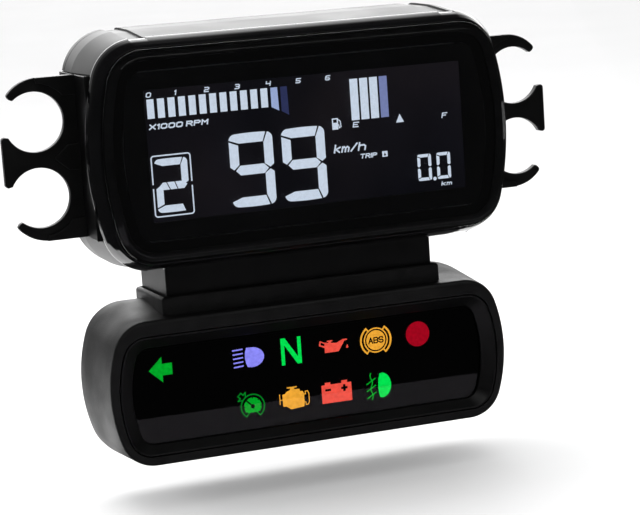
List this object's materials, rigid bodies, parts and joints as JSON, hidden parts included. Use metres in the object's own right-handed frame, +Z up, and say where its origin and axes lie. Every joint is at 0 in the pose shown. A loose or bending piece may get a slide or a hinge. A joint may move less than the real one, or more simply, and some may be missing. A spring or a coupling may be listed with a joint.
{
  "type": "motorcycle instrument cluster",
  "caption": "Wide digital gauge under a flat glossy lens, with open C-shaped clips at each side and a warning lamp panel that plugs on below its neck.",
  "frame": {"origin": "middle of the rear mounting pad's face, which is level with the middle of the gauge", "axes": "+X to the rider's right along the gauge, +Y rearwards out of the mounting face, +Z up; the displays face -Y"},
  "size_m": [0.1952, 0.0584, 0.1479],
  "materials": {
    "clear_lens": "hard-coated clear lens, glossy",
    "smoked_lens": "smoked lens, glossy",
    "gloss_black": "piano black",
    "satin_black": "satin black moulding",
    "grained_black": "fine spark-eroded grain",
    "smooth_dark": "smooth dark moulding",
    "clip_nylon": "black nylon",
    "mask_black": "flat black",
    "display_glass": "black segment display glass",
    "white_plastic": "white moulding",
    "light_guide": "clear acrylic",
    "circuit_board": "solder mask",
    "chip_black": "moulded epoxy and connector plastic",
    "brass": "turned",
    "steel": "zinc plated",
    "tinned_copper": "tinned",
    "aluminium_can": "drawn can",
    "black_rubber": "matt",
    "icon_film": "printed film",
    "flat_ribbon": "polyimide"
  },
  "bodies": {
    "gauge": {"upper_lens": "clear_lens", "lens_gasket": "black_rubber", "upper_bezel": "gloss_black", "display_mask": "mask_black", "display_glass": "display_glass", "light_guide": "light_guide", "backlight_strip": "white_plastic", "display_carrier": "white_plastic", "display_pins": "tinned_copper", "main_board": "circuit_board", "controller_chip": "chip_black", "memory_chip": "chip_black", "buzzer": "chip_black", "capacitor_1": "aluminium_can", "capacitor_2": "aluminium_can", "ribbon_header": "white_plastic", "indicator_ribbon": "flat_ribbon", "upper_housing": "satin_black", "housing_seal": "black_rubber", "rear_case": "satin_black", "insert_left": "brass", "insert_right": "brass", "case_screw_1": "steel", "case_screw_2": "steel", "case_screw_3": "steel", "case_screw_4": "steel", "vent_plug": "black_rubber", "connector_shell": "chip_black", "connector_pins": "tinned_copper", "button_switch": "chip_black", "clip_plate_left": "clip_nylon", "clip_plate_right": "clip_nylon", "clip_screw_left_upper": "steel", "clip_screw_left_lower": "steel", "clip_screw_right_upper": "steel", "clip_screw_right_lower": "steel", "neck": "satin_black", "neck_screw_left": "steel", "neck_screw_right": "steel", "contact_block": "chip_black", "contact_pins": "tinned_copper"},
    "lamp_panel": {"lower_housing": "grained_black", "lower_inner_bezel": "smooth_dark", "lower_window": "smoked_lens", "icon_film": "icon_film", "light_box": "white_plastic", "lamp_row_upper": "circuit_board", "lamp_row_lower": "circuit_board", "lamp_board": "circuit_board", "receptacle": "chip_black", "panel_ribbon": "flat_ribbon", "lower_seal": "black_rubber", "lower_rear_cover": "satin_black", "cover_screw_1": "steel", "cover_screw_2": "steel", "cover_screw_3": "steel", "cover_screw_4": "steel"},
    "button": {"trip_button": "black_rubber"}
  },
  "joints": [
    {"name": "lamp_panel_slide", "type": "slide", "parent": "gauge", "child": "lamp_panel", "axis": [0, 0, -1], "range_m": [0, 0.014]},
    {"name": "trip_button_press", "type": "slide", "parent": "gauge", "child": "button", "axis": [0, -1, 0], "range_m": [0, 0.001], "stiffness_N_per_m": 2000, "springref_m": -0.0005}
  ]
}
